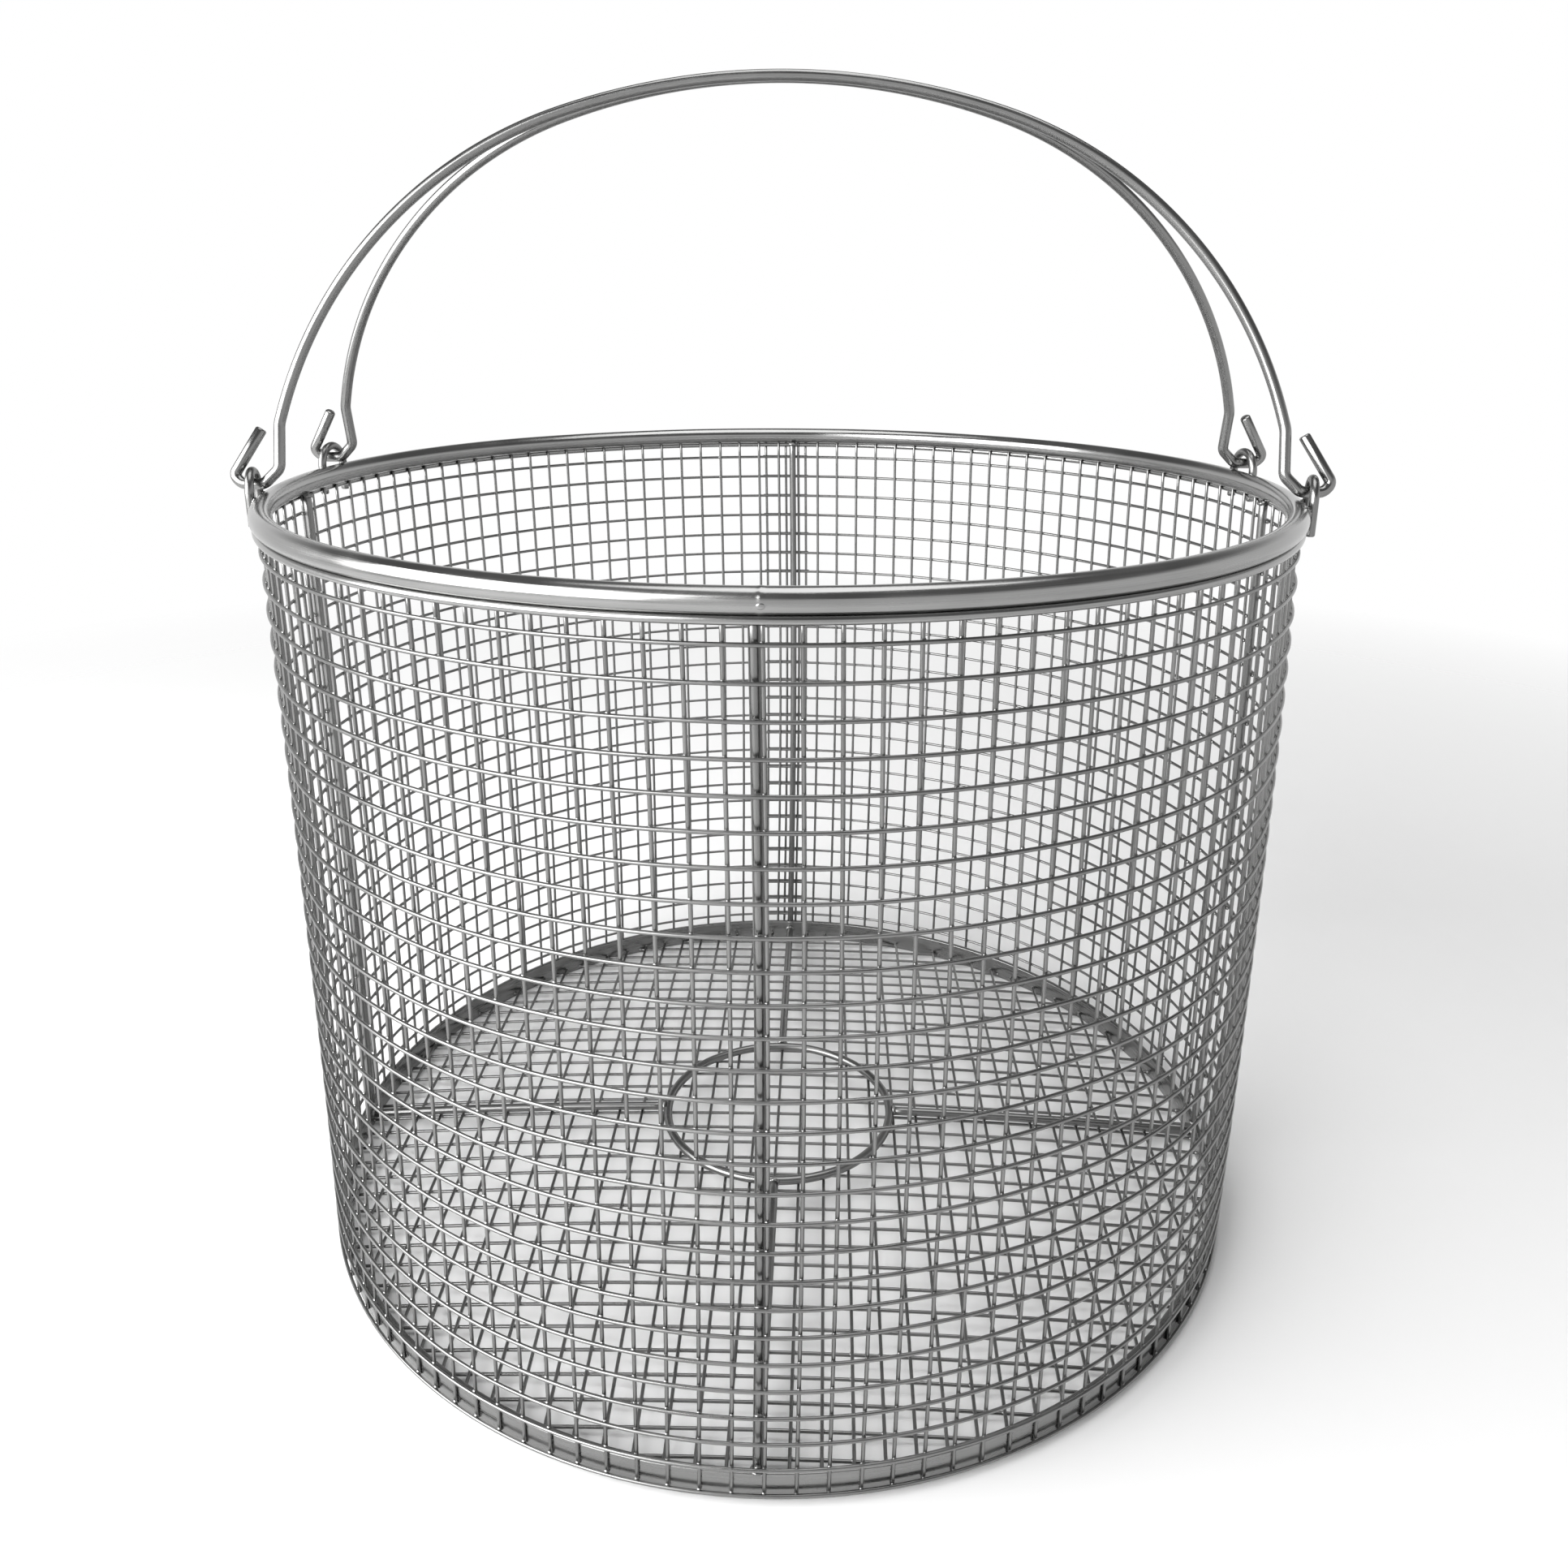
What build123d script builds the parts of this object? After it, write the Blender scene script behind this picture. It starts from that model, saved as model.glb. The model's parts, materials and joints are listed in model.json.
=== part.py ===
from build123d import *
import math
import os

# Round welded-wire basket with two bail handles.
# +Z is up. The origin is on the bottom band's lower edge, in the middle of the basket.
# The front is -Y. All sizes are in millimetres.

# Mesh
wall_diameter = 465.0        # across the centre lines of the upright wall wires
wall_height = 356.0          # from the band's lower edge to the underside of the rim rod
mesh_pitch = 12.7            # wire to wire
mesh_wire = 1.6              # wire diameter
lowest_hoop_height = 4.0     # centre of the lowest wall hoop
upright_offset = 2.8         # front strut to the upright on its right, along the wall
lap_cells = 2                # cells by which the rolled sheet overlaps itself
lap_offset = 4.5             # rear strut to the middle of the overlap, along the wall
wire_foot_gap = 2.4          # wall wires end this far above the resting plane

# Rim
rim_rod = 9.5                # main rim rod diameter
strut_rod = 4.0              # upright rods inside the wall

# Bottom
band_height = 12.7           # flat bar on edge
band_thickness = 3.0
floor_rise = 10.0            # the floor is dished upwards by this much in its middle
floor_edge_height = 1.2      # underside of the floor mesh at the band
spoke_rod = 4.5
center_ring_diameter = 123.0

# Handles
bail_rod = 5.0
bail_rise = 179.0            # hinge axis to the top of a bail, measured in the bail's plane
bail_crown_turn = 18.6       # degrees of turn on each side of the top, at the larger radius
bail_foot_lean = 14.8        # degrees off upright where the bow meets its leg
bail_leg_height = 27.0       # hinge axis to the bend where the leg becomes the bow
bail_kink_height = 7.0       # hinge axis to the foot of the straight leg
bail_leg_inset = 12.0        # leg to the middle of the ear
hinge_spacing = 97.0         # front hinge axis to rear hinge axis
pin_half_length = 5.0        # middle of the ear to each corner of the pin
elbow_reach = 8.5            # middle of the ear to the outermost corner
elbow_height = 4.0
tail_inset = 4.0             # middle of the ear back to the end of the tail
tail_height = 24.5
kink_radius = 5.0            # bends beside the pin and at the foot of the leg
elbow_radius = 3.2
leg_bend_radius = 14.0
bow_lead = 5.0               # straight length between the leg's bend and the bow
pin_clearance = 0.3          # pin to rim, and bail to bail at rest

# Ears
ear_rod = 4.0
ear_width = 23.0             # outside width of the loop
ear_headroom = 1.2           # pin to the top of the eye
ear_depth = 15.0             # foot of the ear below the top of the rim

weld_bite = 0.15             # how far crossing rods are set into each other

# Worked-out sizes
wall_radius = wall_diameter / 2
wire_radius = mesh_wire / 2
upright_count = round(math.pi * wall_diameter / mesh_pitch)
upright_step = 360.0 / upright_count
hoop_radius = wall_radius + mesh_wire - weld_bite

rim_hoop_rod = rim_rod / 3   # thin hoop outside the mesh, under the rim rod
rim_radius = rim_rod / 2
rim_height = wall_height + rim_radius
rim_top = rim_height + rim_radius
rim_hoop_offset = wire_radius + rim_hoop_rod / 2 - weld_bite
rim_hoop_reach = (rim_rod + rim_hoop_rod) / 2 - weld_bite
rim_hoop_drop = math.sqrt(rim_hoop_reach ** 2 - rim_hoop_offset ** 2)
hoop_count = int((wall_height - lowest_hoop_height - rim_hoop_rod - mesh_wire) / mesh_pitch) + 1

band_outer_radius = wall_radius - wire_radius + weld_bite
band_inner_radius = band_outer_radius - band_thickness
strut_circle = wall_radius - wire_radius - strut_rod / 2 + weld_bite

floor_across_height = floor_edge_height + wire_radius
floor_along_height = floor_across_height + mesh_wire - weld_bite
floor_rod_height = floor_along_height + wire_radius + spoke_rod / 2 - weld_bite
dish_radius = (band_inner_radius ** 2 + floor_rise ** 2) / (2 * floor_rise)
center_ring_radius = center_ring_diameter / 2

hinge_y = hinge_spacing / 2
hinge_height = rim_top + bail_rod / 2 + pin_clearance
ear_leg_spacing = ear_width - ear_rod
ear_top = hinge_height + bail_rod / 2 + ear_headroom + ear_rod / 2
ear_foot = rim_top - ear_depth
ear_reach = wall_radius + (rim_rod + ear_rod) / 2 - weld_bite
ear_plane = math.sqrt(ear_reach ** 2 - (ear_leg_spacing / 2) ** 2)
ear_angle = math.degrees(math.asin(hinge_y / ear_plane))
ear_x = ear_plane * math.cos(math.radians(ear_angle))
bail_lean = math.degrees(math.asin((hinge_y - (bail_rod + pin_clearance) / 2) / bail_rise))


def ring(major_radius, rod, height):
    """Closed round hoop of round rod, lying level."""
    return Pos(0, 0, height) * Torus(major_radius, rod / 2)


def upright(radius, angle, rod, low, high):
    """Straight rod standing at an angle round the basket."""
    rod_solid = Cylinder(rod / 2, high - low, align=(Align.CENTER, Align.CENTER, Align.MIN))
    return Rot(0, 0, angle) * Pos(radius, 0, low) * rod_solid


def swept_rod(path, rod):
    """Round rod along a path, square at both ends."""
    section = Plane(origin=path @ 0, z_dir=path % 0) * Circle(rod / 2)
    return sweep(section, path=path)


def dish_height(distance):
    """Height of the dished floor above its edge, at a distance from the middle."""
    sphere_center = floor_rise - dish_radius
    return sphere_center + math.sqrt(dish_radius ** 2 - distance ** 2)


def dished_rod(start, end, offset, rod, height):
    """Rod bent to the dish, from start to end along X, at a sideways offset in Y."""
    drop = dish_height(0) - dish_height(offset)

    def point(x):
        return (x, offset, height + dish_height(x) - drop)

    return swept_rod(ThreePointArc(point(start), point((start + end) / 2), point(end)), rod)


def wall_wires():
    """Upright wires of the wall mesh."""
    first = math.degrees(upright_offset / wall_radius) - 90
    high = wall_height + 2 * weld_bite
    return [
        upright(wall_radius, first + number * upright_step, mesh_wire, wire_foot_gap, high)
        for number in range(upright_count)
    ]


def wall_hoops():
    """Level wires of the wall mesh, welded outside the uprights."""
    return [
        ring(hoop_radius, mesh_wire, lowest_hoop_height + number * mesh_pitch)
        for number in range(hoop_count)
    ]


def wall_lap():
    """Edge of the rolled sheet where it overlaps itself at the back: uprights and hoop ends."""
    lap_angle = lap_cells * upright_step
    lap_upright_circle = hoop_radius + mesh_wire - weld_bite
    lap_hoop_circle = lap_upright_circle + mesh_wire - weld_bite
    first = 90 + math.degrees(lap_offset / wall_radius) - lap_angle / 2
    high = rim_height - rim_hoop_drop - rim_hoop_rod / 2 + weld_bite
    solids = [
        upright(lap_upright_circle, first + number * upright_step, mesh_wire, wire_foot_gap, high)
        for number in range(lap_cells + 1)
    ]
    overhang = math.degrees(mesh_wire / lap_hoop_circle)
    arc = CenterArc((0, 0, 0), lap_hoop_circle, first - overhang, lap_angle + 2 * overhang)
    stub = swept_rod(arc, mesh_wire)
    for number in range(hoop_count):
        solids.append(Pos(0, 0, lowest_hoop_height + number * mesh_pitch) * stub)
    return solids


def floor_wires(height):
    """Parallel dished wires filling the band, running along X."""
    reach = int((band_inner_radius - mesh_pitch / 2) / mesh_pitch)
    wires = []
    for number in range(-reach, reach + 1):
        offset = number * mesh_pitch
        half_length = math.sqrt(band_inner_radius ** 2 - offset ** 2) + weld_bite
        wires.append(dished_rod(-half_length, half_length, offset, mesh_wire, height))
    return wires


def floor_spoke(angle):
    """Rod from the centre ring out to the band, bent to the floor's dish."""
    start = center_ring_radius + spoke_rod / 2 - weld_bite
    end = band_inner_radius + weld_bite
    return Rot(0, 0, angle) * dished_rod(start, end, 0, spoke_rod, floor_rod_height)


def band():
    """Flat bar rolled on edge into a hoop."""
    outer = Cylinder(band_outer_radius, band_height, align=(Align.CENTER, Align.CENTER, Align.MIN))
    inner = Cylinder(band_inner_radius, band_height, align=(Align.CENTER, Align.CENTER, Align.MIN))
    return outer - inner


def ear(angle):
    """Upside-down U of rod, welded to the outside of the rim, its eye above the rim."""
    half = ear_leg_spacing / 2
    spring_line = ear_top - half
    path = (
        Line((0, -half, ear_foot), (0, -half, spring_line))
        + ThreePointArc((0, -half, spring_line), (0, 0, ear_top), (0, half, spring_line))
        + Line((0, half, spring_line), (0, half, ear_foot))
    )
    return Rot(0, 0, angle) * Pos(ear_plane, 0, 0) * swept_rod(Wire(path.edges()), ear_rod)


def bail_path():
    """Centre line of a bail in its own plane: X across, Z up from the hinge axis."""
    foot_turn = math.radians(90 - bail_foot_lean)
    crown_turn = math.radians(bail_crown_turn)
    lean = math.radians(bail_foot_lean)
    leg_x = ear_x - bail_leg_inset
    bow_x = leg_x - bow_lead * math.sin(lean)
    bow_z = bail_leg_height + bow_lead * math.cos(lean)
    # Two tangent arcs on each side: the crown radius, then the shoulder radius.
    side_span = math.sin(foot_turn) - math.sin(crown_turn)
    side_drop = math.cos(crown_turn) - math.cos(foot_turn)
    crown_span = math.sin(crown_turn)
    crown_drop = 1 - math.cos(crown_turn)
    fall = bail_rise - bow_z
    determinant = crown_span * side_drop - side_span * crown_drop
    crown_radius = (bow_x * side_drop - side_span * fall) / determinant
    shoulder_radius = (crown_span * fall - crown_drop * bow_x) / determinant
    crown_end_x = crown_radius * crown_span
    crown_end_z = bail_rise - crown_radius * crown_drop
    middle_turn = (crown_turn + foot_turn) / 2
    middle_x = crown_end_x + shoulder_radius * (math.sin(middle_turn) - crown_span)
    middle_z = crown_end_z - shoulder_radius * (math.cos(crown_turn) - math.cos(middle_turn))

    crown = ThreePointArc((-crown_end_x, 0, crown_end_z), (0, 0, bail_rise), (crown_end_x, 0, crown_end_z))
    edges = list(crown.edges())
    for side in (-1, 1):
        shoulder = ThreePointArc(
            (side * crown_end_x, 0, crown_end_z),
            (side * middle_x, 0, middle_z),
            (side * bow_x, 0, bow_z),
        )
        foot = FilletPolyline(
            (side * bow_x, 0, bow_z),
            (side * leg_x, 0, bail_leg_height),
            (side * leg_x, 0, bail_kink_height),
            (side * (ear_x - pin_half_length), 0, 0),
            (side * (ear_x + pin_half_length), 0, 0),
            (side * (ear_x + elbow_reach), 0, elbow_height),
            (side * (ear_x - tail_inset), 0, tail_height),
            radius=(leg_bend_radius, kink_radius, kink_radius, kink_radius, elbow_radius),
        )
        edges += list(shoulder.edges()) + list(foot.edges())
    return Wire(edges)


def bail(side):
    """Handle bow, leaning inwards until it meets its twin; side is -1 at the front, 1 at the rear."""
    rod = swept_rod(bail_path(), bail_rod)
    return Pos(0, side * hinge_y, hinge_height) * Rot(side * bail_lean, 0, 0) * rod


def save(name, solids):
    """Write one sub-part as one STEP file."""
    shape = solids if isinstance(solids, list) else [solids]
    label = Compound(label=name, children=[Solid(part.solid().wrapped) for part in shape])
    export_step(label, "parts/" + name + ".step")


os.makedirs("parts", exist_ok=True)

save("top_rim_ring", ring(wall_radius, rim_rod, rim_height))
save("rim_hoop", ring(wall_radius + rim_hoop_offset, rim_hoop_rod, rim_height - rim_hoop_drop))
save("wall_wires", wall_wires())
hoops = wall_hoops()
save("wall_hoops_lower", hoops[: hoop_count // 2])
save("wall_hoops_upper", hoops[hoop_count // 2:])
save("wall_mesh_lap", wall_lap())
save("bottom_band", band())
save("floor_wires_across", floor_wires(floor_across_height))
save("floor_wires_along", [Rot(0, 0, 90) * wire for wire in floor_wires(floor_along_height)])
save("floor_center_ring", ring(center_ring_radius, spoke_rod, floor_rod_height + dish_height(center_ring_radius)))

quarter_turns = {"right": 0, "rear": 90, "left": 180, "front": 270}
for place, angle in quarter_turns.items():
    strut_top = rim_height - rim_radius + strut_rod / 4
    strut = upright(strut_circle, angle, strut_rod, band_height - weld_bite, strut_top)
    save("wall_strut_" + place, strut)
    save("floor_spoke_" + place, floor_spoke(angle))

ear_places = {
    "rear_right": ear_angle,
    "rear_left": 180 - ear_angle,
    "front_left": 180 + ear_angle,
    "front_right": -ear_angle,
}
for place, angle in ear_places.items():
    save("ear_" + place, ear(angle))

save("front_bail", bail(-1))
save("rear_bail", bail(1))
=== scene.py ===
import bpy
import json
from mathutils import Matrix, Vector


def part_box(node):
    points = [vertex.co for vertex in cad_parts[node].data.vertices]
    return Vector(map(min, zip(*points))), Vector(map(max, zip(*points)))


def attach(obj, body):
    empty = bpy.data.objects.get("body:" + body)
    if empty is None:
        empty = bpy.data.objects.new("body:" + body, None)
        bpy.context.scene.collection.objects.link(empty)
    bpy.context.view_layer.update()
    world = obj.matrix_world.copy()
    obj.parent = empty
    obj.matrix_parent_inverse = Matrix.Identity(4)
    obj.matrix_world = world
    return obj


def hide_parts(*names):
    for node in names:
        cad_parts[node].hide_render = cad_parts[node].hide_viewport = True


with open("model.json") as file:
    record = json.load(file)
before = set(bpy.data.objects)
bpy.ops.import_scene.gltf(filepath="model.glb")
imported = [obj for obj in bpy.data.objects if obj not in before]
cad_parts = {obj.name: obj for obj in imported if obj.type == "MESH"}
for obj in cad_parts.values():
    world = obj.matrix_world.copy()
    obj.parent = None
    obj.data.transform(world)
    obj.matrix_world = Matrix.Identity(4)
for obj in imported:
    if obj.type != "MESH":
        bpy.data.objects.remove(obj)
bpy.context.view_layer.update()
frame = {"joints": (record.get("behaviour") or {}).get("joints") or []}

import json
import math

import bpy
import numpy as np
from mathutils import Matrix, Vector

# ---------------------------------------------------------------- sizes, in metres

MM = 0.001
PITCH = 12.7 * MM                # of the mesh, in the wall and in the floor
WIRE = 1.6 * MM
BITE = 0.15 * MM                 # crossing rods are set into each other by this much
WIRE_FOOT_GAP = 2.4 * MM         # under the feet of the upright wires
UPRIGHT_OFFSET = 2.8 * MM        # of the first upright wire from the front strut
LAP_CELLS = 2
LAP_OFFSET = 4.5 * MM            # of the lap's middle from the rear strut
STRUT_ROD = 4.0 * MM
SPOKE_ROD = 4.5 * MM
EAR_ROD = 4.0 * MM
EAR_WIDTH = 23.0 * MM
FLOOR_RISE = 10.0 * MM           # of the dished floor, in its middle
BAIL_ROD = 5.0 * MM
BAIL_RISE = 179.0 * MM           # of the crown over the hinge line
BAIL_CROWN_TURN = math.radians(18.6)
BAIL_FOOT_LEAN = math.radians(14.8)
BAIL_LEG_HEIGHT = 27.0 * MM
BAIL_KINK_HEIGHT = 7.0 * MM
BAIL_LEG_INSET = 12.0 * MM
BOW_LEAD = 5.0 * MM
PIN_HALF_LENGTH = 5.0 * MM
ELBOW_REACH = 8.5 * MM
ELBOW_HEIGHT = 4.0 * MM
TAIL_INSET = 4.0 * MM
TAIL_HEIGHT = 24.5 * MM
KINK_RADIUS = 5.0 * MM
ELBOW_RADIUS = 3.2 * MM
LEG_BEND_RADIUS = 14.0 * MM
BAIL_GAP = 0.3 * MM              # between the two bails where they lean together

RIM_LOW, RIM_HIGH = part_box("top_rim_ring")
RIM_ROD = RIM_HIGH[2] - RIM_LOW[2]
RIM_HEIGHT = (RIM_HIGH[2] + RIM_LOW[2]) / 2
WALL_RADIUS = (RIM_HIGH[0] - RIM_LOW[0]) / 2 - RIM_ROD / 2
WALL_TOP = RIM_LOW[2]

THIN_LOW, THIN_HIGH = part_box("rim_hoop")
THIN_ROD = THIN_HIGH[2] - THIN_LOW[2]
THIN_RADIUS = (THIN_HIGH[0] - THIN_LOW[0]) / 2 - THIN_ROD / 2
THIN_HEIGHT = (THIN_HIGH[2] + THIN_LOW[2]) / 2

BAND_LOW, BAND_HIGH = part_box("bottom_band")
BAND_HEIGHT = BAND_HIGH[2] - BAND_LOW[2]
BAND_THICKNESS = 3.0 * MM
BAND_OUTER = (BAND_HIGH[0] - BAND_LOW[0]) / 2
BAND_INNER = BAND_OUTER - BAND_THICKNESS

HOOP_RADIUS = WALL_RADIUS + WIRE - BITE
LOWEST_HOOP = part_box("wall_hoops_lower")[0][2] + WIRE / 2
HIGHEST_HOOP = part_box("wall_hoops_upper")[1][2] - WIRE / 2
HOOP_COUNT = round((HIGHEST_HOOP - LOWEST_HOOP) / PITCH) + 1
UPRIGHT_COUNT = round(2 * math.pi * WALL_RADIUS / PITCH)
UPRIGHT_STEP = 2 * math.pi / UPRIGHT_COUNT
STRUT_CIRCLE = WALL_RADIUS - WIRE / 2 - STRUT_ROD / 2 + BITE

RING_LOW, RING_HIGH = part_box("floor_center_ring")
RING_RADIUS = (RING_HIGH[0] - RING_LOW[0]) / 2 - SPOKE_ROD / 2
RING_HEIGHT = (RING_HIGH[2] + RING_LOW[2]) / 2
DISH_RADIUS = (BAND_INNER ** 2 + FLOOR_RISE ** 2) / (2 * FLOOR_RISE)
FLOOR_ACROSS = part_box("floor_wires_across")[0][2] + WIRE / 2
FLOOR_ALONG = FLOOR_ACROSS + WIRE - BITE
FLOOR_ROD = FLOOR_ALONG + (WIRE + SPOKE_ROD) / 2 - BITE

HINGE = {joint["child"]: Vector(joint["pos_m"]) for joint in frame["joints"]}
EAR_REACH = WALL_RADIUS + (RIM_ROD + EAR_ROD) / 2 - BITE
EAR_HALF = (EAR_WIDTH - EAR_ROD) / 2
EAR_X = math.sqrt(EAR_REACH ** 2 - EAR_HALF ** 2 - HINGE["front_bail"][1] ** 2)

QUARTERS = {"right": 0.0, "rear": math.pi / 2, "left": math.pi, "front": 1.5 * math.pi}

# ---------------------------------------------------------------- workmanship, in metres

WIRE_STRAY = 0.10 * MM           # of a mesh wire from its place
HOOP_WAVE = 0.12 * MM            # of a level wire, up and down
BAND_WAVE = 0.12 * MM            # of the rolled flat bar, in and out
WALL_WAVE = 0.9 * MM             # of the rolled mesh, in and out
WALL_SWAY = 1.6 * MM             # of the middle of the wall, to the right
WALL_RIPPLES = (                 # share, lobes round the wall, phase, turn for each metre up
    (0.45, 3, 0.7, 5),
    (0.30, 7, 2.1, -9),
    (0.16, 17, 0.0, 23),
)
FLOOR_WAVE = 0.35 * MM           # of the floor mesh, up and down
FLOOR_RIPPLES = ((31, 1.3), (27, 0.4))           # turn for each metre and phase, by x and by y
HOOP_RIPPLES = ((0.10 * MM, 5, 1.0), (0.06 * MM, 11, 0.0))       # size, lobes round, phase
BAND_CORNER = 0.45 * MM          # radius
NUGGET = np.array([1.12, 1.12, 0.62]) * MM       # half sizes of a pressed weld
LAP_NUGGET = np.array([1.1, 1.1, 0.6]) * MM
NUGGET_SCATTER = 0.07
STRUT_WELD = np.array([1.5, 1.0, 1.1]) * MM
STRUT_WELD_SCATTER = 0.12
WIRE_END_WELD = 1.15 * MM
BUTT_WELD_REACH = 2.4 * MM       # of the finer mesh on either side of a butt weld
BUTT_WELD_WIDTH = 0.9 * MM
RIM_WELD_ANGLE, RIM_WELD_RISE = math.radians(-89.4), 0.16 * MM
THIN_WELD_ANGLE, THIN_WELD_RISE = math.radians(-112), 0.12 * MM
RING_WELD_ANGLE, RING_WELD_RISE = math.radians(200), 0.2 * MM
RIM_WELD_SPOT = np.array([1.5, 1.1, 0.45]) * MM
STRUT_FOOT_BEAD = 0.75 * MM      # radius of the weld bead, as in the next three
STRUT_HEAD_BEAD = 0.9 * MM
SPOKE_BEAD = 0.9 * MM
EAR_BEAD = 0.95 * MM
EAR_BEAD_FLANK = 1.75 * MM       # from the middle of the leg to the bead beside it
EAR_BEAD_INSET = 1.35 * MM       # from the middle of the leg to the bead, towards the rim
EAR_BEAD_SHAPE = (               # up from the middle of the rim, and outwards
    (2.6 * MM, -0.9 * MM),
    (0.0, 0.0),
    (-2.8 * MM, -0.9 * MM),
)
BEAD_RIPPLE = 0.13
BEAD_RIPPLE_LENGTH = 1.1 * MM

# heat of a surface: how far a weld has dulled the steel
PLAIN, PRESSED, MELTED = 0.0, 0.7, 1.0

# ---------------------------------------------------------------- fineness of the meshes

WIRE_SIDES = 10
BEAD_SIDES = 12
ROD_SIDES = 18
BAIL_SIDES = 20
RIM_SIDES = 32
RIM_SEGMENTS = 480
THIN_SEGMENTS = 420
RING_SEGMENTS = 160
BAND_SEGMENTS = 360
BUTT_WELD_POINTS = 13
BEAD_ARC_POINTS = 17
BEND_STEP = 0.5 * MM
BEAD_STEP = 0.35 * MM
SHARP_ANGLE = math.radians(50)

rng = np.random.default_rng(7)


# ---------------------------------------------------------------- mesh building

class Rods:
    """Round rods and small lumps gathered into one mesh.

    The map named rod gives metres along a rod and metres round it. The attributes give each
    rod or lump a tone of its own, and the heat of its welding.
    """

    def __init__(self):
        self.points = []
        self.faces = []
        self.loops = []
        self.tones = []
        self.heats = []
        self.count = 0

    def add(self, points, faces, loops, tones, heat):
        """Add points, faces that count from the first of them, and the map of their corners."""
        self.faces += [[self.count + corner for corner in face] for face in faces]
        self.points.append(points)
        self.loops.append(loops)
        self.tones.append(np.broadcast_to(tones, len(points)))
        self.heats.append(np.full(len(points), heat))
        self.count += len(points)

    def tube(self, path, radius, sides, closed=False, chamfered=True, tone=None, heat=PLAIN):
        """Add a rod along a path, with one radius or a radius for each point."""
        path = np.asarray(path, float)
        radii = np.broadcast_to(np.asarray(radius, float), len(path))
        if chamfered and not closed:
            path, radii = with_chamfers(path, radii)
        count = len(path)
        across, up = cross_axes(path, closed)
        angles = circle_angles(sides)
        ring = (
            np.cos(angles)[None, :, None] * across[:, None, :]
            + np.sin(angles)[None, :, None] * up[:, None, :]
        )
        points = path[:, None, :] + ring * radii[:, None, None]

        row = np.arange(count if closed else count - 1)[:, None]
        side = np.arange(sides)[None, :]
        next_row = (row + 1) % count
        next_side = (side + 1) % sides
        quads = np.stack(
            [
                row * sides + side,
                row * sides + next_side,
                next_row * sides + next_side,
                next_row * sides + side,
            ],
            axis=-1,
        )
        faces = quads.reshape(-1, 4).tolist()

        steps = np.linalg.norm(np.diff(path, axis=0, append=path[:1]), axis=1)
        along = np.concatenate([[0], np.cumsum(steps)])
        girth = 2 * math.pi * float(np.max(radii)) / sides
        low, high = along[row], along[row + 1]
        left, right = side * girth, (side + 1) * girth
        corners = ((low, left), (low, right), (high, right), (high, left))
        loops = np.stack([np.stack(np.broadcast_arrays(*corner), -1) for corner in corners], axis=2)
        loops = loops.reshape(-1, 2)
        if not closed:
            faces.append(list(reversed(range(sides))))
            faces.append(list(range((count - 1) * sides, count * sides)))
            loops = np.concatenate([loops, np.zeros((2 * sides, 2))])
        tones = rng.random() if tone is None else tone
        self.add(points.reshape(-1, 3), faces, loops, tones, heat)

    def blobs(self, centers, frames, sizes, heat=MELTED, rings=5, sides=8):
        """Add rounded lumps, each with its own frame, whose rows are its axes, and half sizes."""
        template, faces = blob_template(rings, sides)
        scaled = template[None, :, :] * np.asarray(sizes, float)[:, None, :]
        turned = np.einsum("nvk,nkj->nvj", scaled, np.asarray(frames, float))
        points = turned + np.asarray(centers, float)[:, None, :]
        starts = range(0, len(centers) * len(template), len(template))
        all_faces = [[start + corner for corner in face] for start in starts for face in faces]
        loops = np.zeros((sum(len(face) for face in all_faces), 2))
        tones = np.repeat(rng.random(len(centers)), len(template))
        self.add(points.reshape(-1, 3), all_faces, loops, tones, heat)

    def build(self, name, material, body, node):
        """Make the piece; node is the CAD node it stands for, or None for a detail."""
        mesh = bpy.data.meshes.new(name)
        mesh.from_pydata(np.concatenate(self.points).tolist(), [], self.faces)
        mesh.uv_layers.new(name="rod").uv.foreach_set(
            "vector", np.concatenate(self.loops).astype(np.float32).ravel()
        )
        for label, values in (("tone", self.tones), ("heat", self.heats)):
            layer = mesh.attributes.new(label, "FLOAT", "POINT")
            layer.data.foreach_set("value", np.concatenate(values).astype(np.float32))
        mesh.shade_smooth()
        mesh.set_sharp_from_angle(angle=SHARP_ANGLE)
        mesh.materials.append(material)
        piece = bpy.data.objects.new(name, mesh)
        bpy.context.collection.objects.link(piece)
        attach(piece, body)
        if node:
            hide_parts(node)


def with_chamfers(path, radii):
    """Path and radii with a small chamfer at each end, as a cropped and tumbled rod has."""
    share = 0.22
    longest = 0.4
    first = path[1] - path[0]
    last = path[-2] - path[-1]
    first_length, last_length = np.linalg.norm(first), np.linalg.norm(last)
    cut = min(radii[0] * share, first_length * longest, last_length * longest)
    head = path[0] + first / first_length * cut
    tail = path[-1] + last / last_length * cut
    path = np.concatenate([path[:1], [head], path[1:-1], [tail], path[-1:]])
    head_radii = [radii[0] * (1 - share), radii[0]]
    tail_radii = [radii[-1], radii[-1] * (1 - share)]
    return path, np.concatenate([head_radii, radii[1:-1], tail_radii])


def cross_axes(path, closed):
    """Two cross axes at each point of a path, turned as little as possible along it."""
    if closed:
        tangents = np.roll(path, -1, 0) - np.roll(path, 1, 0)
    else:
        tangents = np.gradient(path, axis=0)
    tangents /= np.linalg.norm(tangents, axis=1)[:, None]
    steep = abs(tangents[0][2]) >= 0.9
    trial = np.array([1.0, 0.0, 0.0]) if steep else np.array([0.0, 0.0, 1.0])
    across = np.empty_like(path)
    current = trial - tangents[0] * trial.dot(tangents[0])
    for place, tangent in enumerate(tangents):
        current = current - tangent * current.dot(tangent)
        current /= np.linalg.norm(current)
        across[place] = current
    return across, np.cross(tangents, across)


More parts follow.
